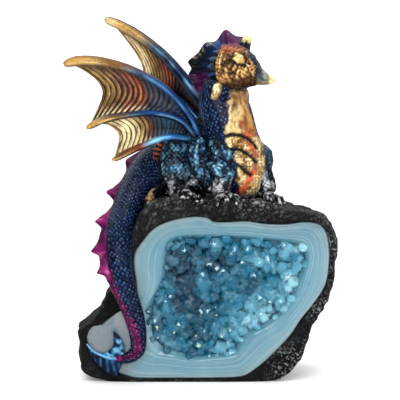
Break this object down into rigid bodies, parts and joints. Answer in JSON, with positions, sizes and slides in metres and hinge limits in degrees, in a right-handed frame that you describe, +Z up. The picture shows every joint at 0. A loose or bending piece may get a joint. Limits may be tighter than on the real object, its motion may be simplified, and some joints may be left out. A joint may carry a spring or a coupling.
{
  "type": "dragon statue",
  "caption": "Cast dragon ornament: a seated winged dragon on a halved geode, its tail hanging over the sawn agate face beside a hollow of blue crystals.",
  "frame": {"origin": "on the geode's flat underside, below the middle of its body", "axes": "+Z up, the sawn face looks towards -Y, +X is to the right seen from the sawn face"},
  "size_m": [0.0902, 0.0598, 0.1166],
  "materials": {
    "dragon_paint": "dark metallic blue paint over cast resin, with gold, copper and magenta brushed on the relief",
    "rock_paint": "charcoal black paint over cast resin, brushed silver grey on its high points",
    "agate": "glossy banded pale blue resin",
    "crystal": "glossy teal blue resin chips with glitter"
  },
  "bodies": {
    "root": {"dragon": "dragon_paint", "geode_rock": "rock_paint", "agate_lining": "agate", "crystal_bed": "crystal"}
  },
  "joints": []
}
